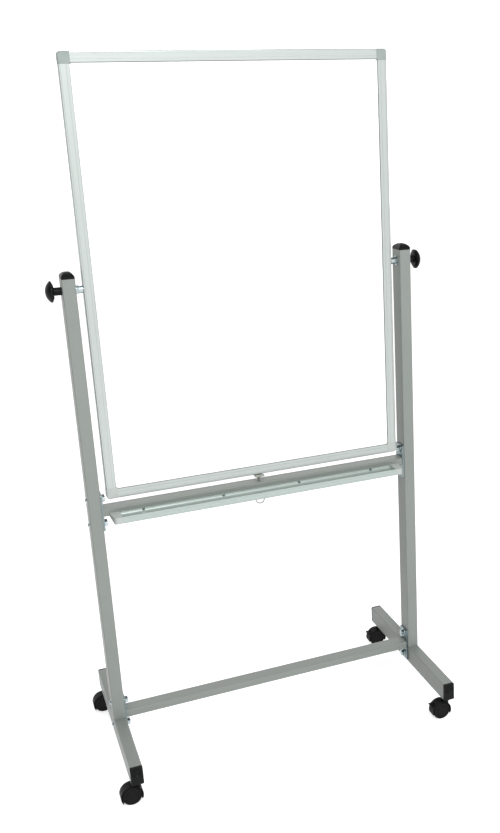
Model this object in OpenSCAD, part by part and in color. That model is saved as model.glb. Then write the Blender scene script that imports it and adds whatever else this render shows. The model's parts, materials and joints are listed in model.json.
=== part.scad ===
// Rolling double-sided whiteboard: a framed board that flips on two side pivots
// between the posts of a tube frame, which stands on four twin-wheel casters.
// Millimetres. X runs across the board, Y from front to back and Z up.
// The origin is on the floor, under the middle of the frame.

/* [Board] */
// Outer width of the framed board
board_w = 762; // [600:1:900]
// Outer height of the framed board
board_h = 1016; // [800:1:1040]
// Thickness of the aluminium edge rails
board_t = 20; // [18:1:24]
// Visible width of an edge rail
rail_w = 23; // [22:1:28]
// Side of a square corner piece
corner_size = 26; // [26:1:34]
// Rounding of the board's outer corners
corner_r = 7; // [3:1:9]

/* [Frame] */
// Height of the board's pivot axis above the floor
pivot_z = 1205; // [1180:1:1300]
// Gap between the board's edge and a post
side_gap = 17; // [16:1:20]
// Width of a post or a foot, seen from the front
tube_w = 30; // [26:1:36]
// Depth of a post, and height of a foot
tube_d = 48; // [44:1:60]
// Wall thickness of the steel tubes
wall = 1.8; // [1.5:0.1:2.2]
// Length of a foot tube without its end caps
foot_l = 480; // [400:10:600]
// Height of a post's top above the pivot axis
post_rise = 28; // [20:1:40]
// Depth of both crossbars
bar_d = 38; // [30:1:42]
// Height of both crossbars
bar_h = 20; // [18:1:24]
// Gap between the board's lower edge and the upper crossbar
bar_gap = 19; // [17:1:22]

/* [Tray] */
// How far the marker tray stands out in front of the crossbar
tray_d = 45; // [45:1:60]
// Length of a moulded tray end cap
tray_cap_l = 24; // [18:1:30]

/* [Casters] */
// Radius of a caster wheel
wheel_r = 24; // [22:1:26]
// Distance from the floor to the underside of a foot
caster_h = 62; // [62:1:66]
// Offset of the wheel axle behind the swivel axis
trail = 14; // [13:1:18]
// Distance from a foot tube's end to its caster
caster_inset = 22; // [20:1:60]

/* [Hidden] */
$fn = 48;
eps = 0.01;
steel_grey = [0.63, 0.65, 0.65];
aluminium = [0.82, 0.85, 0.84];
black_plastic = [0.09, 0.10, 0.10];
grey_plastic = [0.66, 0.69, 0.68];
zinc = [0.78, 0.82, 0.84];

// Radial clearances: a running fit, and a screw in its thread
fit = 0.06;
thread_fit = 0.02;

edge_r = 3;
post_x = board_w / 2 + side_gap + tube_w / 2;
post_in = board_w / 2 + side_gap;
post_out = post_in + tube_w;
foot_top = caster_h + tube_d;
post_top = pivot_z + post_rise;
upper_bar_z = pivot_z - board_h / 2 - bar_gap - bar_h / 2;
lower_bar_z = foot_top + 5;

// Crossbar end plates and the M8 bolts that hold them
plate_t = 4;
plate_h = 92;
bolt_r = 4;
bolt_hole_r = 4.3;
bolt_pitch = 64;
head_r = 7;
head_h = 4.5;
washer_t = 1.2;
bolt_washer_r = 10.5;
nut_af = 16;
nut_h = 6.5;
bar_l = 2 * (post_in - plate_t);
bolt_levels = [
    upper_bar_z + bolt_pitch / 2, upper_bar_z - bolt_pitch / 2,
    lower_bar_z + bolt_pitch / 2, lower_bar_z - bolt_pitch / 2
];

// Pivot: an M10 stud from the board, through a bush in the post, to a clamp knob
stud_r = 5;
bush_r = 8;
stud_in = board_w / 2 - 12.5;
sleeve_l = 9;
pivot_nut_h = 6;
pivot_washer_t = 1.6;
slide_gap = 0.2;
knob_washer_x = post_out + slide_gap;
knob_washer_t = 1.6;
knob_x = knob_washer_x + knob_washer_t + slide_gap;
neck_r = 9.2;
neck_l = 15.5;
head_t = 18;
knob_r = 24.8;
lobes = 5;
lobe_r = 16;
stud_out = knob_x + neck_l + 9;

// Edge rail section: an outer chamber, then a groove that grips the panel
rail_wall = 1.6;
chamber_end = 13.4;
groove_start = 15;
groove_half = 7.1;
panel_half = 7;
sheet_t = 0.5;
panel_w = board_w - 2 * (groove_start + 0.3);
panel_h = board_h - 2 * (groove_start + 0.3);
chamber_half = board_t / 2 - rail_wall;
tongue_l = 18;
block_l = 60;

// Marker tray: heights are measured from the top of its back wall
tray_top = upper_bar_z + bar_h / 2 - 12;
tray_wall = 2;
tray_back_h = 8.5;
tray_front_h = 16;
lip_rise = 1;
tray_out_l = board_w;
tray_l = tray_out_l - 2 * tray_cap_l;
tray_y = -bar_d / 2;
tray_screw_x = [-300, -100, 100, 300];
tray_screw_z = tray_top - 3.5;

// Mid-span latch: a spring-loaded pin with a yoke that grips the board's edge
pin_r = 4;
yoke_w = 23;
yoke_t = 2;
lip_t = 2;
lip_h = 4.4;
lip_gap = 0.4;
yoke_top = pivot_z - board_h / 2 - 0.5;
yoke_base = yoke_top - lip_h - yoke_t;
eye_z = upper_bar_z - bar_h / 2 - 21;
eye_r = 2.4;
pin_end = eye_z - 4;
ring_r = 11;
ring_wire = 1.3;
guide_r = 5.5;
guide_flange_r = 6.4;
guide_flange_t = 0.8;
collar_z = upper_bar_z + 1;
collar_t = 1.2;
spring_r = 5.4;
spring_wire = 0.6;
spring_turns = 2.5;
spring_z0 = upper_bar_z - bar_h / 2 + wall + 1.05;
spring_z1 = collar_z - 0.05;

// Casters
wheel_in = 5;
wheel_out = 12.5;
axle_r = 3;
hub_r = 11.5;
hub_wall = 2;
hood_r = wheel_r + 3.2;
hood_in_r = wheel_r + 1;
hood_half = 12.8;
web_half = 4.4;
boss_r = 10.5;
boss_top = caster_h - 2;
caster_pin_r = 3;
caster_pin_end = 36;
stem_r = 5;
stem_top = caster_h + wall + 16;
caster_nut_af = 17;
lever_angle = 140;
lever_pivot_r = 18;
lever_half = 2.8;
lever_t = 3.6;
trunnion_r = 1.6;
slot_half = 3.2;
FRONT = -1;
BACK = 1;
LEFT = -1;
RIGHT = 1;
caster_y = foot_l / 2 - caster_inset;

// ---------- shared shapes ----------

module rounded_rect(w, h, r) {
    square([w - 2 * r, h], center = true);
    square([w, h - 2 * r], center = true);
    for (x = [-1, 1], y = [-1, 1])
        translate([x * (w / 2 - r), y * (h / 2 - r)])
            circle(r);
}

module tube_section(w, h) {
    difference() {
        rounded_rect(w, h, edge_r);
        rounded_rect(w - 2 * wall, h - 2 * wall, edge_r - wall);
    }
}

module x_cylinder(r, l) {
    rotate([0, 90, 0])
        cylinder(r = r, h = l, center = true);
}

module y_cylinder(r, l) {
    rotate([90, 0, 0])
        cylinder(r = r, h = l, center = true);
}

// A ring or disc whose axis is X, from x0 to x1 on the given side
module side_ring(side, x0, x1, r, hole) {
    translate([side * (x0 + x1) / 2, 0, 0])
        difference() {
            x_cylinder(r, x1 - x0);
            x_cylinder(hole, x1 - x0 + 2);
        }
}

module side_hex(side, x0, x1, across_flats, hole) {
    translate([side * (x0 + x1) / 2, 0, 0])
        difference() {
            rotate([0, 90, 0])
                cylinder(r = across_flats / 2 / cos(30), h = x1 - x0, center = true, $fn = 6);
            x_cylinder(hole, x1 - x0 + 2);
        }
}

// ---------- frame ----------

module post(side) {
    color(steel_grey)
        translate([side * post_x, 0, 0])
            difference() {
                translate([0, 0, foot_top])
                    linear_extrude(post_top - foot_top)
                        tube_section(tube_w, tube_d);
                translate([0, 0, pivot_z])
                    x_cylinder(bush_r, tube_w + 2);
                for (z = [bolt_levels[0], bolt_levels[1], bolt_levels[2]])
                    translate([0, 0, z])
                        x_cylinder(bolt_hole_r, tube_w + 2);
            }
}

module foot(side) {
    color(steel_grey)
        translate([side * post_x, 0, caster_h + tube_d / 2])
            difference() {
                rotate([90, 0, 0])
                    linear_extrude(foot_l, center = true)
                        tube_section(tube_w, tube_d);
                translate([0, 0, bolt_levels[3] - caster_h - tube_d / 2])
                    x_cylinder(bolt_hole_r, tube_w + 2);
                for (end = [FRONT, BACK])
                    translate([0, end * caster_y, -tube_d / 2])
                        cylinder(r = stem_r + 0.3, h = 4 * wall, center = true);
            }
}

module crossbar(z) {
    translate([0, 0, z])
        rotate([90, 0, 90])
            linear_extrude(bar_l, center = true)
                tube_section(bar_d, bar_h);
}

module upper_crossbar() {
    color(steel_grey)
        difference() {
            crossbar(upper_bar_z);
            translate([0, 0, upper_bar_z])
                cylinder(r = guide_r, h = bar_h + 2, center = true);
            for (x = tray_screw_x)
                translate([x, tray_y, tray_screw_z])
                    y_cylinder(2, 4 * wall);
        }
}

module lower_crossbar() {
    color(steel_grey)
        crossbar(lower_bar_z);
}

module crossbar_end_plates() {
    color(zinc)
        for (side = [LEFT, RIGHT], z = [upper_bar_z, lower_bar_z])
            translate([side * (post_in - plate_t / 2), 0, z])
                difference() {
                    rotate([90, 0, 90])
                        linear_extrude(plate_t, center = true)
                            rounded_rect(bar_d + 4, plate_h, 4);
                    for (up = [-1, 1])
                        translate([0, 0, up * bolt_pitch / 2])
                            x_cylinder(bolt_hole_r, plate_t + 2);
                }
}

// A moulded cap: a plug inside the post, under a crown that arches both ways
module post_cap(side) {
    crown_h = 15;
    skirt_h = 4;
    plug_w = tube_w - 2 * wall - 0.4;
    plug_d = tube_d - 2 * wall - 0.4;
    side_arch_r = 16;
    long_arch_r = 30;
    color(black_plastic)
        translate([side * post_x, 0, post_top]) {
            translate([0, 0, -10])
                linear_extrude(10)
                    rounded_rect(plug_w, plug_d, 1);
            intersection() {
                linear_extrude(crown_h)
                    rounded_rect(tube_w, tube_d, edge_r);
                translate([0, 0, crown_h - side_arch_r])
                    y_cylinder(side_arch_r, tube_d + 2);
                union() {
                    translate([0, 0, crown_h - long_arch_r])
                        x_cylinder(long_arch_r, tube_w + 2);
                    translate([0, 0, skirt_h / 2])
                        cube([tube_w + 2, tube_d + 2, skirt_h], center = true);
                }
            }
        }
}

// Foot end caps, with a shallow thumb scallop near the top of the outer face
module foot_end_caps() {
    cap_t = 5;
    plug_l = 11;
    scoop_r = 16;
    scoop_depth = 5.4;
    scoop_drop = 15;
    color(black_plastic)
        for (side = [LEFT, RIGHT], end = [FRONT, BACK])
            translate([side * post_x, end * foot_l / 2, caster_h + tube_d / 2])
                difference() {
                    union() {
                        translate([0, end * cap_t / 2, 0])
                            rotate([90, 0, 0])
                                linear_extrude(cap_t, center = true)
                                    rounded_rect(tube_w, tube_d, edge_r);
                        translate([0, -end * plug_l / 2, 0])
                            rotate([90, 0, 0])
                                linear_extrude(plug_l, center = true)
                                    rounded_rect(tube_w - 2 * wall - 0.4, tube_d - 2 * wall - 0.4, 1);
                    }
                    translate([0, end * (cap_t + scoop_r - scoop_depth), tube_d / 2 - scoop_drop])
                        sphere(scoop_r);
                }
}

// Short sleeves inside the lower ends of the posts, standing on the feet
module post_spigots() {
    spigot_l = 55;
    spigot_wall = 3;
    spigot_w = tube_w - 2 * wall - 0.4;
    spigot_d = tube_d - 2 * wall - 0.4;
    color(steel_grey)
        for (side = [LEFT, RIGHT])
            translate([side * post_x, 0, 0])
                difference() {
                    translate([0, 0, foot_top])
                        linear_extrude(spigot_l)
                            difference() {
                                rounded_rect(spigot_w, spigot_d, 2);
                                square([spigot_w - 2 * spigot_wall, spigot_d - 2 * spigot_wall], center = true);
                            }
                    translate([0, 0, bolt_levels[2]])
                        x_cylinder(bolt_hole_r, tube_w);
                }
}

module frame_bolts() {
    shank_in = post_in - plate_t - washer_t - nut_h - 1.5;
    color(zinc)
        for (side = [LEFT, RIGHT], z = bolt_levels)
            translate([0, 0, z]) {
                translate([side * (shank_in + post_out) / 2, 0, 0])
                    x_cylinder(bolt_r, post_out - shank_in + eps);
                translate([side * post_out, 0, 0])
                    rotate([0, side * 90, 0])
                        button_head(head_r, head_h);
            }
}

// A domed head with a hexagon socket, standing on its flat side
module button_head(r, h) {
    dome_r = (r * r + h * h) / (2 * h);
    difference() {
        intersection() {
            translate([0, 0, h - dome_r])
                sphere(dome_r);
            cylinder(r = r, h = h);
        }
        translate([0, 0, h / 2])
            cylinder(r = r * 0.4, h = h, $fn = 6);
    }
}

module frame_washers() {
    x1 = post_in - plate_t;
    color(zinc)
        for (side = [LEFT, RIGHT], z = bolt_levels)
            translate([0, 0, z])
                side_ring(side, x1 - washer_t, x1, bolt_washer_r, bolt_hole_r);
}

module frame_nuts() {
    x1 = post_in - plate_t - washer_t;
    color(zinc)
        for (side = [LEFT, RIGHT], z = bolt_levels)
            translate([0, 0, z])
                side_hex(side, x1 - nut_h, x1, nut_af, bolt_r + thread_fit);
}

module pivot_bushes() {
    color(black_plastic)
        for (side = [LEFT, RIGHT])
            translate([0, 0, pivot_z])
                side_ring(side, post_in, post_out, bush_r - thread_fit, stud_r + fit);
}

// ---------- marker tray ----------

// Outer section of the tray: x runs out from the crossbar, y is height
module tray_outline() {
    polygon([
        [0, 0], [0, -tray_back_h], [4, -tray_back_h - 1],
        [tray_d - 5, -tray_front_h], [tray_d, -tray_front_h + 1],
        [tray_d, lip_rise], [tray_d - 2.2, lip_rise], [tray_d - 2.2, 0]
    ]);
}

// The gutter: a tight curve at the back, a shallow floor and a curve up to the lip
module tray_gutter() {
    back_r = 9.6;
    front_r = 8.3;
    back_c = [tray_wall + back_r, -0.2];
    front_c = [tray_d - 2.2 - front_r, -5];
    translate(back_c)
        circle(back_r);
    translate(front_c)
        circle(front_r);
    polygon([
        [tray_wall, lip_rise + 1], [tray_wall, back_c[1]],
        [back_c[0], back_c[1] - back_r], [front_c[0], front_c[1] - front_r],
        [tray_d - 2.2, front_c[1]], [tray_d - 2.2, lip_rise + 1]
    ]);
}

// Places a tray section so that it is extruded along X at the crossbar's face
module along_tray(length) {
    translate([0, tray_y, tray_top])
        rotate([90, 0, -90])
            linear_extrude(length, center = true)
                children();
}

module marker_tray() {
    color(aluminium)
        difference() {
            along_tray(tray_l)
                difference() {
                    tray_outline();
                    tray_gutter();
                }
            for (x = tray_screw_x)
                translate([x, tray_y, tray_screw_z]) {
                    y_cylinder(2.3, 3 * tray_wall);
                    translate([0, -tray_wall - 4, 0])
                        y_cylinder(3.7, 8);
                }
        }
}

// End cap of the tray: its outer side tapers in towards a rounded front corner
module tray_cap(side) {
    taper = 5;
    nose_r = 8;
    back = tray_y + 1;
    front = tray_y - tray_d;
    outer = -tray_out_l / 2;
    inner = -tray_l / 2;
    color(grey_plastic)
        mirror([side > 0 ? 1 : 0, 0, 0])
            intersection() {
                translate([(outer + inner) / 2, 0, 0])
                    along_tray(tray_cap_l)
                        tray_outline();
                translate([0, 0, tray_top - tray_front_h - 1])
                    linear_extrude(tray_front_h + lip_rise + 2) {
                        polygon([
                            [inner + 1, back], [outer, back],
                            [outer + taper, front + nose_r], [outer + taper + nose_r, front - 1],
                            [inner + 1, front - 1]
                        ]);
                        translate([outer + taper + nose_r, front + nose_r])
                            circle(nose_r);
                    }
            }
}

module tray_screws() {
    color(zinc)
        for (x = tray_screw_x)
            translate([x, tray_y - tray_wall, tray_screw_z]) {
                translate([0, 4, 0])
                    y_cylinder(2 - thread_fit, 8);
                rotate([90, 0, 0])
                    cylinder(r1 = 3.4, r2 = 2.4, h = 1.6);
            }
}

// ---------- board ----------

module at_pivot() {
    translate([0, 0, pivot_z])
        children();
}

// Section of an edge rail: x is measured in from the board's outer edge
module rail_section() {
    half = board_t / 2;
    difference() {
        union() {
            translate([edge_r, -half])
                square([rail_w - edge_r, board_t]);
            translate([0, -half + edge_r])
                square([rail_w, board_t - 2 * edge_r]);
            for (y = [-1, 1])
                translate([edge_r, y * (half - edge_r)])
                    circle(edge_r);
        }
        translate([rail_wall, -chamber_half])
            square([chamber_end - rail_wall, 2 * chamber_half]);
        translate([groove_start, -groove_half])
            square([rail_w, 2 * groove_half]);
    }
}

module side_rail(side) {
    color(aluminium)
        at_pivot()
            difference() {
                mirror([side > 0 ? 1 : 0, 0, 0])
                    translate([-board_w / 2, 0, 0])
                        linear_extrude(board_h - 2 * corner_size, center = true)
                            rail_section();
                translate([side * board_w / 2, 0, 0])
                    x_cylinder(stud_r + 0.2, 2 * (chamber_end - 2));
            }
}

module cross_rail(up) {
    color(aluminium)
        at_pivot()
            mirror([0, 0, up > 0 ? 1 : 0])
                rotate([0, -90, 0])
                    translate([-board_h / 2, 0, 0])
                        linear_extrude(board_w - 2 * corner_size, center = true)
                            rail_section();
}

// Corner piece in its own corner: +X and +Z run inwards from the outer corner
module corner_outline(inset) {
    r = corner_r - inset;
    difference() {
        union() {
            translate([corner_r, inset])
                square([corner_size - corner_r, corner_size - inset]);
            translate([inset, corner_r])
                square([corner_size - inset, corner_size - corner_r]);
            translate([corner_r, corner_r])
                circle(r);
        }
        translate([corner_size, corner_size])
            rotate(45)
                square(4.2, center = true);
    }
}

module corner_piece(side, up) {
    skin = 0.3;
    chamber_mid = (rail_wall + chamber_end) / 2;
    tongue_w = chamber_end - rail_wall - 0.6;
    tongue_t = 2 * chamber_half - 0.6;
    color(grey_plastic)
        at_pivot()
            mirror([side > 0 ? 1 : 0, 0, 0])
                mirror([0, 0, up > 0 ? 1 : 0])
                    translate([-board_w / 2, 0, -board_h / 2])
                        difference() {
                            union() {
                                rotate([90, 0, 0]) {
                                    linear_extrude(board_t - 3, center = true)
                                        corner_outline(0);
                                    linear_extrude(board_t + 2 * skin, center = true)
                                        corner_outline(1.5);
                                }
                                translate([chamber_mid, 0, corner_size + tongue_l / 2 - eps])
                                    cube([tongue_w, tongue_t, tongue_l], center = true);
                                translate([corner_size + tongue_l / 2 - eps, 0, chamber_mid])
                                    cube([tongue_l, tongue_t, tongue_w], center = true);
                            }
                            translate([groove_start + 0.2, -groove_half, groove_start + 0.2])
                                cube([corner_size, 2 * groove_half, corner_size]);
                        }
}

module panel_layer(y0, y1) {
    at_pivot()
        translate([0, (y0 + y1) / 2, 0])
            cube([panel_w, y1 - y0, panel_h], center = true);
}

module front_sheet() {
    color("white")
        panel_layer(-panel_half, -panel_half + sheet_t);
}

module back_sheet() {
    color("white")
        panel_layer(panel_half - sheet_t, panel_half);
}

module board_core() {
    color([0.72, 0.62, 0.48])
        panel_layer(-panel_half + sheet_t, panel_half - sheet_t);
}

// ---------- pivot hardware that turns with the board ----------

module pivot_blocks() {
    block_w = chamber_end - rail_wall - 0.4;
    mid = board_w / 2 - (rail_wall + chamber_end) / 2;
    color(zinc)
        at_pivot()
            for (side = [LEFT, RIGHT])
                translate([side * mid, 0, 0])
                    difference() {
                        cube([block_w, 2 * chamber_half - 0.4, block_l], center = true);
                        x_cylinder(stud_r + thread_fit, block_w + 2);
                    }
}

module pivot_studs() {
    color(zinc)
        at_pivot()
            for (side = [LEFT, RIGHT])
                translate([side * (stud_in + stud_out) / 2, 0, 0])
                    x_cylinder(stud_r, stud_out - stud_in);
}

module pivot_sleeves() {
    color(zinc)
        at_pivot()
            for (side = [LEFT, RIGHT])
                side_ring(side, board_w / 2, board_w / 2 + sleeve_l, 8.5, stud_r + 0.2);
}

module pivot_nuts() {
    x0 = board_w / 2 + sleeve_l;
    color(zinc)
        at_pivot()
            for (side = [LEFT, RIGHT])
                side_hex(side, x0, x0 + pivot_nut_h, 17, stud_r + thread_fit);
}

module pivot_washers() {
    x1 = post_in - slide_gap;
    color(zinc)
        at_pivot()
            for (side = [LEFT, RIGHT])
                side_ring(side, x1 - pivot_washer_t, x1, 12, stud_r + 0.2);
}

// ---------- clamp knobs ----------

module knob_washer(side) {
    color(black_plastic)
        at_pivot()
            side_ring(side, knob_washer_x, knob_washer_x + knob_washer_t, neck_r - 0.2, stud_r + 0.3);
}

// Lobed clamp knob with a slim neck; z runs out along the stud from the neck's end
module knob_form() {
    dome_r = 32;
    under_r = 17;
    difference() {
        union() {
            cylinder(r = neck_r, h = neck_l + 1);
            translate([0, 0, neck_l])
                intersection() {
                    linear_extrude(head_t)
                        knob_outline();
                    translate([0, 0, head_t - dome_r])
                        sphere(dome_r);
                    cylinder(r1 = under_r, r2 = under_r + 2 * head_t, h = head_t);
                }
        }
        translate([0, 0, -1])
            cylinder(r = stud_r + fit, h = stud_out - knob_x + 4);
    }
}

module knob_outline() {
    for (i = [0 : lobes - 1])
        rotate(i * 360 / lobes)
            translate([knob_r - lobe_r, 0])
                circle(lobe_r);
}

module knob(side) {
    color(black_plastic)
        at_pivot()
            translate([side * knob_x, 0, 0])
                rotate([0, side * 90, 0])
                    knob_form();
}

// ---------- latch ----------

module latch_pin() {
    flare_h = 5;
    color(zinc)
        difference() {
            union() {
                translate([0, 0, pin_end])
                    cylinder(r = pin_r, h = yoke_base - pin_end + eps);
                translate([0, 0, yoke_base - flare_h])
                    cylinder(r1 = pin_r, r2 = 7.5, h = flare_h);
                translate([-yoke_w / 2, -board_t / 2 - lip_gap - lip_t, yoke_base])
                    cube([yoke_w, board_t + 2 * (lip_gap + lip_t), yoke_t]);
                for (end = [FRONT, BACK])
                    translate([0, end * (board_t / 2 + lip_gap + lip_t / 2), yoke_base + yoke_t + lip_h / 2 - eps])
                        cube([yoke_w, lip_t, lip_h], center = true);
            }
            translate([0, 0, eye_z])
                x_cylinder(eye_r, 3 * pin_r);
        }
}

module latch_collar() {
    color(zinc)
        translate([0, 0, collar_z])
            difference() {
                cylinder(r = 6.3, h = collar_t);
                translate([0, 0, -1])
                    cylinder(r = pin_r + thread_fit, h = collar_t + 2);
            }
}

module latch_ring() {
    color(zinc)
        translate([0, 0, eye_z - ring_r])
            rotate([90, 0, 0])
                rotate_extrude()
                    translate([ring_r, 0])
                        circle(ring_wire, $fn = 24);
}

// Two flanged guides, one in each wall of the upper crossbar
module latch_guides() {
    body_l = wall + 1;
    color(zinc)
        for (up = [-1, 1])
            translate([0, 0, upper_bar_z])
                mirror([0, 0, up > 0 ? 0 : 1])
                    difference() {
                        union() {
                            translate([0, 0, bar_h / 2 - body_l])
                                cylinder(r = guide_r - thread_fit, h = body_l + eps);
                            translate([0, 0, bar_h / 2])
                                cylinder(r = guide_flange_r, h = guide_flange_t);
                        }
                        cylinder(r = pin_r + fit, h = bar_h);
                    }
}

// Compression spring between the lower guide and the collar
function spring_ring(i, steps, sides) = let (
    turn = 360 * spring_turns * i / steps,
    z = spring_z0 + spring_wire + (spring_z1 - spring_z0 - 2 * spring_wire) * i / steps
) [
    for (j = [0 : sides - 1])
        let (a = 360 * j / sides, r = spring_r + spring_wire * cos(a))
            [r * cos(turn), r * sin(turn), z + spring_wire * sin(a)]
];

module latch_spring() {
    sides = 6;
    steps = spring_turns * 20;
    points = [for (i = [0 : steps]) each spring_ring(i, steps, sides)];
    start = [[for (j = [0 : sides - 1]) j]];
    finish = [[for (j = [sides - 1 : -1 : 0]) steps * sides + j]];
    walls = [
        for (i = [0 : steps - 1], j = [0 : sides - 1])
            let (k = (j + 1) % sides)
                [i * sides + j, (i + 1) * sides + j, (i + 1) * sides + k, i * sides + k]
    ];
    color("silver")
        polyhedron(points, concat(start, walls, finish));
}

// ---------- casters ----------

module at_caster(side, end) {
    translate([side * post_x, end * caster_y, 0])
        children();
}

module at_axle() {
    translate([-trail, 0, wheel_r])
        children();
}

module caster_stems() {
    flange_r = 9;
    color(zinc)
        for (side = [LEFT, RIGHT], end = [FRONT, BACK])
            at_caster(side, end) {
                translate([0, 0, caster_pin_end])
                    cylinder(r = caster_pin_r, h = caster_h - caster_pin_end);
                translate([0, 0, caster_h - 1.6])
                    cylinder(r = flange_r, h = 1.6);
                translate([0, 0, caster_h - eps])
                    cylinder(r = stem_r, h = stem_top - caster_h);
            }
}

module caster_nuts() {
    color(zinc)
        for (side = [LEFT, RIGHT], end = [FRONT, BACK])
            at_caster(side, end)
                translate([0, 0, caster_h + wall])
                    difference() {
                        cylinder(r = caster_nut_af / 2 / cos(30), h = 8, $fn = 6);
                        translate([0, 0, -1])
                            cylinder(r = stem_r + thread_fit, h = 10);
                    }
}

// A wedge about the axle, in the plane of the wheel, between two angles
module axle_sector(a0, a1, reach, width) {
    middle = (a0 + a1) / 2;
    rotate([90, 0, 0])
        linear_extrude(width, center = true)
            polygon([
                [0, 0],
                [reach * cos(a0), reach * sin(a0)],
                for (i = [1 : 3]) [reach * cos(a0 + (a1 - a0) * i / 4), reach * sin(a0 + (a1 - a0) * i / 4)],
                [reach * cos(a1), reach * sin(a1)]
            ]);
}

module mudguard(a0, a1) {
    intersection() {
        difference() {
            y_cylinder(hood_r, 2 * hood_half);
            y_cylinder(hood_in_r, 2 * hood_half + 2);
        }
        axle_sector(a0, a1, 2 * hood_r, 2 * hood_half + 2);
    }
}

module hood(side, end, a0, a1, braked) {
    color(black_plastic)
        at_caster(side, end)
            difference() {
                union() {
                    at_axle() {
                        mudguard(a0, a1);
                        intersection() {
                            y_cylinder(hood_in_r + 0.5, 2 * web_half);
                            axle_sector(a0, a1, 2 * hood_r, 2 * web_half + 2);
                        }
                        y_cylinder(8, 2 * web_half);
                    }
                    difference() {
                        translate([0, 0, wheel_r])
                            cylinder(r = boss_r, h = boss_top - wheel_r);
                        at_axle()
                            for (s = [-1, 1])
                                translate([0, s * (web_half + 10), 0])
                                    y_cylinder(hood_in_r, 20);
                    }
                }
                translate([0, 0, caster_pin_end - 0.5])
                    cylinder(r = caster_pin_r + fit, h = caster_h);
                at_axle()
                    y_cylinder(axle_r + fit, 4 * web_half);
                if (braked)
                    at_axle()
                        rotate([0, -lever_angle, 0]) {
                            translate([6, -slot_half, -5.5])
                                cube([hood_r, 2 * slot_half, 12.5]);
                            translate([lever_pivot_r, 0, 0])
                                y_cylinder(trunnion_r + fit, 2 * web_half + 2);
                        }
            }
}

module axle(side, end) {
    color(zinc)
        at_caster(side, end)
            at_axle()
                y_cylinder(axle_r, 2 * (wheel_out - hub_wall - 0.1));
}

// Twin wheels: domed rim, recessed face and a raised hub, closed over the axle's ends
module wheels(side, end) {
    bore = axle_r + thread_fit;
    color(black_plastic)
        at_caster(side, end)
            at_axle()
                for (s = [-1, 1])
                    rotate([s * 90, 0, 0])
                        rotate_extrude()
                            polygon([
                                [bore, wheel_in], [wheel_r - 1, wheel_in], [wheel_r, wheel_in + 1],
                                [wheel_r, wheel_out - 2.5], [wheel_r - 0.8, wheel_out - 0.8],
                                [wheel_r - 2.5, wheel_out], [wheel_r - 5, wheel_out],
                                [wheel_r - 6, wheel_out - 1.2], [hub_r + 1, wheel_out - 1.2],
                                [hub_r, wheel_out - 0.2], [0, wheel_out - 0.2],
                                [0, wheel_out - hub_wall], [bore, wheel_out - hub_wall]
                            ]);
}

// Brake lever: x runs out from the axle along the lever, which tips about its trunnions
module brake(side, end) {
    nose_r = 8;
    tab_r = hood_r + 1.8;
    tab_l = 8;
    tab_t = 2.6;
    tab_half = 9;
    color(black_plastic)
        at_caster(side, end)
            at_axle()
                rotate([0, -lever_angle, 0]) {
                    translate([nose_r, -lever_half, -lever_t / 2])
                        cube([tab_r + 1 - nose_r, 2 * lever_half, lever_t]);
                    translate([tab_r, 0, 0])
                        rotate([0, lever_angle - 180, 0])
                            translate([0, -tab_half, -tab_t / 2])
                                cube([tab_l, 2 * tab_half, tab_t]);
                    translate([lever_pivot_r, 0, 0]) {
                        y_cylinder(trunnion_r, 2 * web_half);
                        y_cylinder(3, 2 * lever_half);
                    }
                }
}

// Mudguard arcs, in degrees from the swivel side: plain and braked casters
plain_arc = [-27, 214];
brake_arc = [-27, 196];

post(LEFT);  // left_post
post(RIGHT);  // right_post
foot(LEFT);  // left_foot
foot(RIGHT);  // right_foot
upper_crossbar();
lower_crossbar();
crossbar_end_plates();
post_cap(LEFT);  // left_post_cap
post_cap(RIGHT);  // right_post_cap
foot_end_caps();
post_spigots();
frame_bolts();
frame_washers();
frame_nuts();
pivot_bushes();
marker_tray();
tray_cap(LEFT);  // left_tray_cap
tray_cap(RIGHT);  // right_tray_cap
tray_screws();
caster_stems();
caster_nuts();
latch_guides();
latch_spring();
side_rail(LEFT);  // left_rail
side_rail(RIGHT);  // right_rail
cross_rail(1);  // top_rail
cross_rail(-1);  // bottom_rail
corner_piece(LEFT, 1);  // top_left_corner
corner_piece(RIGHT, 1);  // top_right_corner
corner_piece(LEFT, -1);  // bottom_left_corner
corner_piece(RIGHT, -1);  // bottom_right_corner
front_sheet();
back_sheet();
board_core();
pivot_blocks();
pivot_studs();
pivot_sleeves();
pivot_nuts();
pivot_washers();
knob(LEFT);  // left_knob
knob_washer(LEFT);  // left_knob_washer
knob(RIGHT);  // right_knob
knob_washer(RIGHT);  // right_knob_washer
latch_pin();
latch_collar();
latch_ring();
hood(LEFT, FRONT, plain_arc[0], plain_arc[1], false);  // front_left_hood
axle(LEFT, FRONT);  // front_left_axle
wheels(LEFT, FRONT);  // front_left_wheels
hood(RIGHT, FRONT, brake_arc[0], brake_arc[1], true);  // front_right_hood
axle(RIGHT, FRONT);  // front_right_axle
wheels(RIGHT, FRONT);  // front_right_wheels
brake(RIGHT, FRONT);  // front_right_brake
hood(LEFT, BACK, plain_arc[0], plain_arc[1], false);  // back_left_hood
axle(LEFT, BACK);  // back_left_axle
wheels(LEFT, BACK);  // back_left_wheels
hood(RIGHT, BACK, brake_arc[0], brake_arc[1], true);  // back_right_hood
axle(RIGHT, BACK);  // back_right_axle
wheels(RIGHT, BACK);  // back_right_wheels
brake(RIGHT, BACK);  // back_right_brake
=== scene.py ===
import json
import math

import bmesh
import bpy
from mathutils import Matrix, Vector

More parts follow.
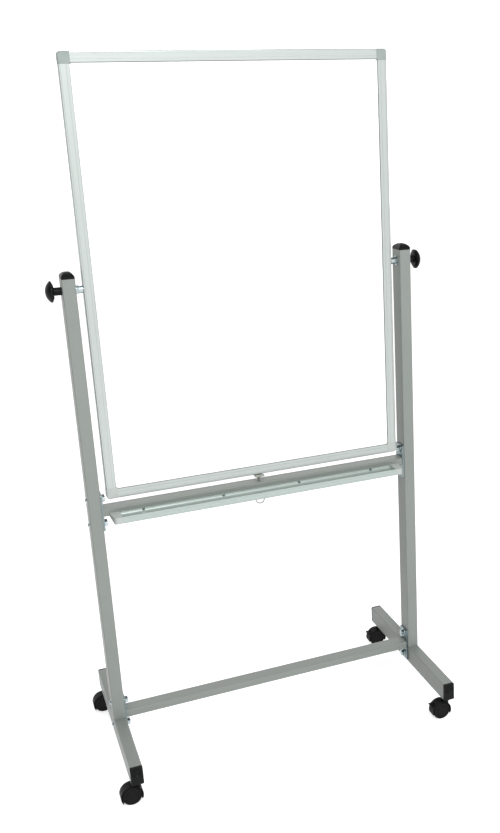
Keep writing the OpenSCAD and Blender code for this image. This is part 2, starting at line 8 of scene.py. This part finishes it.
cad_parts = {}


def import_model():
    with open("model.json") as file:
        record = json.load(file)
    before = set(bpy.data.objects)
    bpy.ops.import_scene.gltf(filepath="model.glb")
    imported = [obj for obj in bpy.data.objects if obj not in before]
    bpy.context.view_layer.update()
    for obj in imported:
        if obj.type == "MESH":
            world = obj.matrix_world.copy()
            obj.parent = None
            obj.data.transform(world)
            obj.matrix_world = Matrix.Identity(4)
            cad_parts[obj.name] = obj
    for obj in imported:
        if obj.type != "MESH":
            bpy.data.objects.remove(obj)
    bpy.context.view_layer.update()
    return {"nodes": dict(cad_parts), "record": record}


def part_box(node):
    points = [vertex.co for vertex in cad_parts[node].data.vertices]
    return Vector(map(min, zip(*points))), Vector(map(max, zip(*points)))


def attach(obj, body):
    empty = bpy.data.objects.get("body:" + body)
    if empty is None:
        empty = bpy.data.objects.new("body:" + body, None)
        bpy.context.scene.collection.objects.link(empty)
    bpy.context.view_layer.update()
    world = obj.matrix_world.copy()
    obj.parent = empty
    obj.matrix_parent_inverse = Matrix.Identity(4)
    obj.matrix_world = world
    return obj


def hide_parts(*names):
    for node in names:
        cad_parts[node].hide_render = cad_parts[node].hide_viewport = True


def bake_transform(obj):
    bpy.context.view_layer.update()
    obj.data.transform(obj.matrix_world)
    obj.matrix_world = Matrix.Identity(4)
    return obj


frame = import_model()
scene = bpy.context.scene
scene.view_settings.view_transform = "Standard"

# Lengths are in metres.
RAIL_WIDTH = 0.023
CORNER_SIZE = 0.026
RAIL_GROOVES = (0.0045, 0.0165)  # from the board's outer edge
RAIL_GROOVE_HALF = 0.0005
TRAY_GROOVES = [0.0028, 0.0056]  # from the middle of the tray's lip
TRAY_GROOVE_HALF = 0.0004
SPRING_WIRE = 0.0006  # the wire's radius
SPRING_TURNS = 2.5
STAGE_RADIUS = 15.0
IMAGE_WIDTH, IMAGE_HEIGHT = 500, 833
SENSOR = 36.0

side_lo, side_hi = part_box("right_rail")
board_side = side_hi[0]
pivot_z = (side_lo[2] + side_hi[2]) / 2
half_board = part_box("top_rail")[1][2] - pivot_z
tray_lo, tray_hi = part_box("marker_tray")


# ---------- node helpers ----------

class Graph:
    """A short way to write a material's node tree."""

    def __init__(self, name):
        self.mat = bpy.data.materials.new(name)
        self.mat.use_nodes = True
        self.nodes = self.mat.node_tree.nodes
        self.links = self.mat.node_tree.links
        self.bsdf = self.nodes["Principled BSDF"]
        self.coord = self.nodes.new("ShaderNodeTexCoord")

    def put(self, target, value):
        if isinstance(value, bpy.types.NodeSocket):
            self.links.new(value, target)
        else:
            target.default_value = value

    def point(self, scale=(1, 1, 1)):
        n = self.nodes.new("ShaderNodeMapping")
        n.inputs["Scale"].default_value = scale
        self.links.new(self.coord.outputs["Object"], n.inputs["Vector"])
        return n.outputs["Vector"]

    def noise(self, scale, detail=3.0, rough=0.5, vector=None, distortion=0.0):
        n = self.nodes.new("ShaderNodeTexNoise")
        n.inputs["Scale"].default_value = scale
        n.inputs["Detail"].default_value = detail
        n.inputs["Roughness"].default_value = rough
        n.inputs["Distortion"].default_value = distortion
        self.links.new(vector or self.point(), n.inputs["Vector"])
        return n.outputs["Fac"]

    def voronoi(self, scale):
        n = self.nodes.new("ShaderNodeTexVoronoi")
        n.inputs["Scale"].default_value = scale
        self.links.new(self.point(), n.inputs["Vector"])
        return n.outputs["Distance"]

    def span(self, value, lo, hi, to_lo=0.0, to_hi=1.0):
        n = self.nodes.new("ShaderNodeMapRange")
        n.inputs["From Min"].default_value = lo
        n.inputs["From Max"].default_value = hi
        n.inputs["To Min"].default_value = to_lo
        n.inputs["To Max"].default_value = to_hi
        self.put(n.inputs["Value"], value)
        return n.outputs["Result"]

    def math(self, op, a, b=0.0):
        n = self.nodes.new("ShaderNodeMath")
        n.operation = op
        self.put(n.inputs[0], a)
        self.put(n.inputs[1], b)
        return n.outputs[0]

    def mix(self, fac, a, b):
        n = self.nodes.new("ShaderNodeMix")
        n.data_type = "RGBA"
        self.put(n.inputs["Factor"], fac)
        self.put(n.inputs["A"], a)
        self.put(n.inputs["B"], b)
        return n.outputs["Result"]

    def bump(self, height, strength, distance, normal=None):
        n = self.nodes.new("ShaderNodeBump")
        n.inputs["Strength"].default_value = strength
        n.inputs["Distance"].default_value = distance
        self.put(n.inputs["Height"], height)
        if normal is not None:
            self.links.new(normal, n.inputs["Normal"])
        return n.outputs["Normal"]

    def rounded(self, radius):
        n = self.nodes.new("ShaderNodeBevel")
        n.samples = 4
        n.inputs["Radius"].default_value = radius
        return n.outputs["Normal"]

    def edges(self, lo, hi):
        g = self.nodes.new("ShaderNodeNewGeometry")
        return self.span(g.outputs["Pointiness"], lo, hi)

    def axis(self, name):
        n = self.nodes.new("ShaderNodeSeparateXYZ")
        self.links.new(self.coord.outputs["Object"], n.inputs["Vector"])
        return n.outputs[name]

    def surface(self, color, rough, metallic=0.0, normal=None, **more):
        self.put(self.bsdf.inputs["Base Color"], color)
        self.put(self.bsdf.inputs["Roughness"], rough)
        self.bsdf.inputs["Metallic"].default_value = metallic
        if normal is not None:
            self.links.new(normal, self.bsdf.inputs["Normal"])
        for name, value in more.items():
            self.bsdf.inputs[name.replace("_", " ")].default_value = value
        return self.mat


def tint(base, red, green=None, blue=None):
    """A base colour with its channels scaled, all alike when only one factor is given."""
    green, blue = (red, red) if green is None else (green, blue)
    return (base[0] * red, base[1] * green, base[2] * blue, 1.0)


# ---------- materials ----------

def powder_coat(name, base):
    """Grey powder coat: fine orange peel, faint cloudiness and small scuffs."""
    g = Graph(name)
    cloud = g.noise(5.0)
    speck = g.noise(1400.0, 2.0)
    tone = g.mix(g.span(cloud, 0.3, 0.7), tint(base, 0.95), tint(base, 1.05))
    tone = g.mix(g.span(speck, 0.35, 0.75, 0.0, 0.25), tone, tint(base, 1.25))
    scuff = g.noise(60.0, 6.0, 0.7, g.point((1, 1, 0.15)))
    tone = g.mix(g.span(scuff, 0.66, 0.78, 0.0, 0.12), tone, (0.55, 0.56, 0.56, 1.0))
    rough = g.math("ADD", g.span(cloud, 0.3, 0.7, 0.36, 0.46), g.span(scuff, 0.6, 0.8, 0.0, 0.12))
    peel = g.noise(900.0, 2.0)
    normal = g.bump(peel, 0.25, 0.00015, g.rounded(0.0006))
    return g.surface(tone, rough, 0.0, normal, Specular_IOR_Level=0.5)


def plated(name, base, rough):
    """Plated or bare steel: faintly straw-coloured patches and fine tool marks."""
    g = Graph(name)
    patch = g.noise(90.0, 3.0, 0.6, distortion=0.6)
    tone = g.mix(g.span(patch, 0.4, 0.65), tint(base, 1.0), tint(base, 1.05, 1.0, 0.9))
    fine = g.noise(700.0)
    tone = g.mix(g.span(fine, 0.35, 0.8, 0.0, 0.2), tone, tint(base, 0.7, 0.72, 0.75))
    dull = g.math("ADD", g.span(patch, 0.3, 0.7, rough - 0.06, rough + 0.08),
                  g.span(fine, 0.4, 0.7, 0.0, 0.06))
    normal = g.bump(fine, 0.15, 0.0001, g.rounded(0.0004))
    return g.surface(tone, dull, 1.0, normal)


def plastic(name, base, rough, grain=900.0, depth=0.0001, edge=0.0005, lift=1.6, shine=0.3):
    """Moulded plastic: fine spark grain, slightly paler on worn edges, dusty in patches."""
    g = Graph(name)
    spark = g.voronoi(grain)
    dust = g.noise(35.0, 5.0, 0.65)
    tone = g.mix(g.span(dust, 0.5, 0.8, 0.0, 0.35), tint(base, 1.0), tint(base, lift))
    tone = g.mix(g.math("MULTIPLY", g.edges(0.52, 0.6), 0.35), tone, tint(base, lift * 1.3))
    dull = g.math("ADD", g.span(dust, 0.3, 0.8, rough - 0.04, rough + 0.12),
                  g.span(spark, 0.0, 0.6, 0.0, 0.05))
    normal = g.bump(spark, 0.2, depth, g.rounded(edge))
    return g.surface(tone, dull, 0.0, normal, Specular_IOR_Level=shine)


def groove_lines(g, axis, middle, places, half):
    """1 inside the fine grooves that run along an extrusion, each at its distance from the middle."""
    reach = g.math("ABSOLUTE", g.math("SUBTRACT", g.axis(axis), middle))
    total = None
    for place in places:
        off = g.math("ABSOLUTE", g.math("SUBTRACT", reach, place))
        line = g.span(off, half * 0.5, half, 1.0, 0.0)
        total = line if total is None else g.math("MAXIMUM", total, line)
    return total


def aluminium(name, along, grooves, base=(0.455, 0.49, 0.475), rough=0.36, metallic=0.8):
    """Satin anodised extrusion: grooves and die lines along its length, and faint handling marks; the
    grooves also carry painted shade, a darkening that stands in for the shade inside them.
    """
    g = Graph(name)
    stretch = {"X": (2, 900, 900), "Z": (900, 900, 2)}[along]
    die = g.noise(1.0, 4.0, 0.6, g.point(stretch))
    cloud = g.noise(7.0, 4.0)
    tone = g.mix(g.span(die, 0.3, 0.7), tint(base, 0.93), tint(base, 1.04))
    tone = g.mix(g.span(cloud, 0.55, 0.8, 0.0, 0.2), tone, tint(base, 0.85, 0.86, 0.86))
    dull = g.math("ADD", g.span(die, 0.3, 0.7, rough - 0.04, rough + 0.05),
                  g.span(cloud, 0.4, 0.8, 0.0, 0.08))
    normal = g.bump(die, 0.12, 0.0001, g.rounded(0.0005))
    line = groove_lines(g, *grooves)
    # painted shade: the groove lines are darkened towards 0.4 of the base colour, standing in for the shade
    # inside the grooves
    tone = g.mix(g.math("MULTIPLY", line, 0.35), tone, tint(base, 0.4))
    normal = g.bump(line, 0.6, -0.0003, normal)
    return g.surface(tone, dull, metallic, normal)


def lacquer(name):
    """Dry-erase lacquer: clean gloss white, with wiping haze and faint ghost strokes."""
    g = Graph(name)
    wipe = g.noise(1.0, 5.0, 0.6, g.point((3.0, 3.0, 9.0)), 1.5)
    haze = g.noise(4.0, 4.0)
    tone = g.mix(g.span(wipe, 0.45, 0.85, 0.0, 0.5), (0.93, 0.935, 0.935, 1.0), (0.90, 0.907, 0.91, 1.0))
    dull = g.math("ADD", g.span(wipe, 0.3, 0.8, 0.10, 0.20), g.span(haze, 0.3, 0.8, 0.0, 0.06))
    normal = g.bump(g.noise(220.0, 2.0), 0.03, 0.00005)
    return g.surface(tone, dull, 0.0, normal, Coat_Weight=0.35, Coat_Roughness=0.08)


def fibre_core(name):
    """Raw pressed fibre edge of the board's core."""
    g = Graph(name)
    fibre = g.noise(260.0, 6.0, 0.7)
    tone = g.mix(g.span(fibre, 0.3, 0.7), (0.36, 0.25, 0.15, 1.0), (0.56, 0.42, 0.28, 1.0))
    return g.surface(tone, 0.9, 0.0, g.bump(fibre, 0.5, 0.0004))


PAINT = powder_coat("powder_coat_grey", (0.205, 0.225, 0.210))
ZINC = plated("zinc_plate", (0.42, 0.49, 0.52), 0.2)
NICKEL = plated("dull_nickel", (0.36, 0.38, 0.36), 0.38)
STEEL = plated("plain_steel", (0.30, 0.31, 0.31), 0.34)
ZINC_PLATE = plated("zinc_end_plate", (0.21, 0.26, 0.28), 0.32)
BLACK = plastic("black_satin_plastic", (0.0045, 0.005, 0.005), 0.34, shine=0.11)
HOOD = plastic("caster_hood_plastic", (0.003, 0.0035, 0.003), 0.38, 700.0, shine=0.08)
WHEEL = plastic("caster_wheel_plastic", (0.004, 0.0045, 0.004), 0.34, 500.0, 0.00008, shine=0.10)
RUBBER = plastic("seal_rubber", (0.10, 0.105, 0.105), 0.6, 1200.0, 0.00005, 0.0002)
GREY = plastic("grey_corner_plastic", (0.235, 0.268, 0.258), 0.46, 800.0, edge=0.0008, lift=1.12)
GREY_LIGHT = plastic("light_grey_plastic", (0.37, 0.395, 0.38), 0.46, 800.0, edge=0.0008, lift=1.1)
ALU_X = aluminium("anodised_along_x", "X",
                  ("Z", pivot_z, [half_board - d for d in RAIL_GROOVES], RAIL_GROOVE_HALF))
ALU_Z = aluminium("anodised_along_z", "Z",
                  ("X", 0.0, [board_side - d for d in RAIL_GROOVES], RAIL_GROOVE_HALF))
TRAY = aluminium("anodised_tray", "X",
                 ("Z", (tray_lo[2] + tray_hi[2]) / 2, TRAY_GROOVES, TRAY_GROOVE_HALF),
                 (0.40, 0.46, 0.435), 0.34, 0.5)
WHITE = lacquer("dry_erase_lacquer")
CORE = fibre_core("fibre_core")

LOOKS = {
    "frame_paint": PAINT, "plate_zinc": ZINC, "black_plastic": BLACK, "anodised_aluminium": ALU_X,
    "grey_plastic": GREY, "white_sheet": WHITE, "core_board": CORE, "caster_plastic": HOOD,
    "wheel_plastic": WHEEL, "axle_steel": STEEL,
}
OWN = {
    "left_rail": ALU_Z, "right_rail": ALU_Z, "marker_tray": TRAY,
    "bottom_left_corner": GREY_LIGHT, "bottom_right_corner": GREY_LIGHT,
    "left_tray_cap": GREY_LIGHT, "right_tray_cap": GREY_LIGHT,
    "crossbar_end_plates": ZINC_PLATE,
    "latch_pin": NICKEL, "latch_guides": NICKEL, "latch_ring": STEEL, "latch_spring": STEEL,
}
slot_of = {s["node"]: s["material_slot"] for s in frame["record"]["subparts"]}
for node, obj in frame["nodes"].items():
    look = OWN.get(node) or LOOKS[slot_of[node]]
    if not obj.material_slots:
        obj.data.materials.append(look)
    for s in obj.material_slots:
        s.material = look


# ---------- detail pieces ----------

def new_object(name, bm, material):
    """Turns a bmesh into an object of the scene."""
    me = bpy.data.meshes.new(name)
    bm.to_mesh(me)
    bm.free()
    me.materials.append(material)
    obj = bpy.data.objects.new(name, me)
    scene.collection.objects.link(obj)
    return obj


def join_rings(bm, one, two, closed=True):
    """Faces between two rings of vertices with the same count."""
    count = len(one)
    for i in range(count if closed else count - 1):
        j = (i + 1) % count
        bm.faces.new((one[i], one[j], two[j], two[i]))


def panel_seal(name, face):
    """A thin lip seal round the writing sheet, in the angle between the sheet and the edge rails."""
    near, far = board_side - RAIL_WIDTH, board_side - CORNER_SIZE
    low, high = half_board - CORNER_SIZE, half_board - RAIL_WIDTH
    quarter = [(near, low), (far, low), (far, high)]
    outline = []
    for sx, sz in ((1, 1), (-1, 1), (-1, -1), (1, -1)):
        points = quarter if sx * sz > 0 else quarter[::-1]
        outline += [(sx * x, sz * z, sx, sz) for x, z in points]
    section = [(0.05, 0.0), (0.05, 0.7), (0.4, 0.66), (0.8, 0.42), (1.05, 0.0)]  # mm inwards, mm up
    sheet_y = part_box("front_sheet")[0][1] if face < 0 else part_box("back_sheet")[1][1]
    bm = bmesh.new()
    rings = [
        [bm.verts.new((x - sx * d * 0.001, sheet_y + face * h * 0.001, pivot_z + z - sz * d * 0.001))
         for d, h in section]
        for x, z, sx, sz in outline
    ]
    for one, two in zip(rings, rings[1:] + rings[:1]):
        join_rings(bm, one, two)
    bmesh.ops.recalc_face_normals(bm, faces=bm.faces)
    seal = new_object(name, bm, RUBBER)
    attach(seal, "board")


def coil_spring():
    """The latch spring, with closer end turns, between the bar and the collar."""
    low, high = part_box("latch_spring")
    x, y = (low[0] + high[0]) / 2, (low[1] + high[1]) / 2
    reach = (high[0] - low[0]) / 2 - SPRING_WIRE
    length = high[2] - low[2] - 2 * SPRING_WIRE
    steps, sides = 120, 10
    bm = bmesh.new()
    rings = []
    for i in range(steps + 1):
        part = i / steps
        turn = 2 * math.pi * SPRING_TURNS * part
        rise = part - 0.5 * math.sin(2 * math.pi * part) / (2 * math.pi)
        z = low[2] + SPRING_WIRE + length * rise
        ring = []
        for j in range(sides):
            around = 2 * math.pi * j / sides
            r = reach + SPRING_WIRE * math.cos(around)
            ring.append(bm.verts.new((
                x + r * math.cos(turn), y + r * math.sin(turn), z + SPRING_WIRE * math.sin(around))))
        rings.append(ring)
    for one, two in zip(rings, rings[1:]):
        join_rings(bm, one, two)
    bm.faces.new(rings[0])
    bm.faces.new(rings[-1])
    bmesh.ops.recalc_face_normals(bm, faces=bm.faces)
    coil = new_object("latch_coil_spring", bm, STEEL)
    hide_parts("latch_spring")
    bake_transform(coil)


panel_seal("front_panel_seal", -1)
panel_seal("back_panel_seal", 1)
coil_spring()


# ---------- stage, light and camera ----------

def stage_piece(name, profile, glow):
    """Spins a profile of (radius, height) points into a pale stage piece round the object."""
    steps = 64
    bm = bmesh.new()
    rings = []
    for i in range(steps):
        turn = 2 * math.pi * i / steps
        rings.append([bm.verts.new((r * math.cos(turn), r * math.sin(turn), z)) for r, z in profile])
    for one, two in zip(rings, rings[1:] + rings[:1]):
        join_rings(bm, two, one, closed=False)
    g = Graph(name + "_pale")
    tone = g.mix(g.span(g.noise(1.5, 2.0), 0.3, 0.7), (0.90, 0.90, 0.90, 1.0), (0.92, 0.92, 0.92, 1.0))
    g.bsdf.inputs["Emission Color"].default_value = (1.0, 1.0, 1.0, 1.0)
    g.bsdf.inputs["Emission Strength"].default_value = glow
    obj = new_object(name, bm, g.surface(tone, 0.8))
    for p in obj.data.polygons:
        p.use_smooth = True
    obj.visible_diffuse = False
    return obj


def backdrop():
    """A pale floor, and a pale dome over it that is only a background."""
    stage_piece("floor", [(r, 0.0) for r in (0.001, 2.0, 5.0, STAGE_RADIUS)], 0.5)
    arc = [i * math.pi / 2 / 12 for i in range(12)]
    profile = [(STAGE_RADIUS * math.cos(a), STAGE_RADIUS * math.sin(a)) for a in arc]
    dome = stage_piece("dome", profile + [(0.001, STAGE_RADIUS)], 1.1)
    dome.visible_glossy = False
    dome.visible_shadow = False


def area_light(name, place, target, size, power):
    data = bpy.data.lights.new(name, "AREA")
    data.shape = "RECTANGLE"
    data.size, data.size_y = size
    data.energy = power
    obj = bpy.data.objects.new(name, data)
    obj.location = place
    obj.rotation_euler = (Vector(target) - Vector(place)).to_track_quat("-Z", "Y").to_euler()
    scene.collection.objects.link(obj)


def world(drift, glow, least):
    """Soft surroundings: bright before and behind the board, dim at its sides, with a faint drift."""
    w = bpy.data.worlds.new("studio")
    w.use_nodes = True
    nodes, links = w.node_tree.nodes, w.node_tree.links
    bg = nodes["Background"]
    coord = nodes.new("ShaderNodeTexCoord")

    def facing(direction):
        n = nodes.new("ShaderNodeVectorMath")
        n.operation = "DOT_PRODUCT"
        n.inputs[1].default_value = direction
        links.new(coord.outputs["Generated"], n.inputs[0])
        return n.outputs["Value"]

    def combine(operation, a, b=None):
        n = nodes.new("ShaderNodeMath")
        n.operation = operation
        links.new(a, n.inputs[0])
        if isinstance(b, float):
            n.inputs[1].default_value = b
        elif b is not None:
            links.new(b, n.inputs[1])
        return n.outputs[0]

    level = combine("ADD", facing(drift), combine("ABSOLUTE", facing((0, glow, 0))))
    links.new(combine("MAXIMUM", level, least), bg.inputs["Strength"])
    bg.inputs["Color"].default_value = (1.0, 1.0, 1.0, 1.0)
    scene.world = w


def camera():
    """The photograph's viewpoint: left of the object, above the pivots, looking down."""
    place = (-0.65673, -2.34365, 1.57041)
    pitch, roll, azimuth = 0.2943, 0.0321, -0.3921
    focal, centre_x = 1006.67, 370  # pixels
    right = Vector((math.cos(azimuth), math.sin(azimuth), 0))
    ahead = Vector((-math.sin(azimuth), math.cos(azimuth), 0))
    down = Vector((0, 0, -1))
    view = ahead * math.cos(pitch) + down * math.sin(pitch)
    under = down * math.cos(pitch) - ahead * math.sin(pitch)
    x = right * math.cos(roll) + under * math.sin(roll)
    y = -(under * math.cos(roll) - right * math.sin(roll))
    z = -view
    data = bpy.data.cameras.new("camera")
    data.sensor_width = SENSOR
    data.lens = focal / IMAGE_HEIGHT * SENSOR
    data.shift_x = (IMAGE_WIDTH / 2 - centre_x) / IMAGE_HEIGHT
    data.clip_end = 100
    obj = bpy.data.objects.new("camera", data)
    obj.matrix_world = Matrix((
        (x.x, y.x, z.x, place[0]), (x.y, y.y, z.y, place[1]), (x.z, y.z, z.z, place[2]), (0, 0, 0, 1)))
    scene.collection.objects.link(obj)
    scene.camera = obj


backdrop()
world(drift=(0.12, 0, 0.08), glow=1.55, least=0.03)
area_light("key", (-0.4, -3.0, 3.6), (0, 0, 0.8), (1.8, 1.0), 90)
camera()
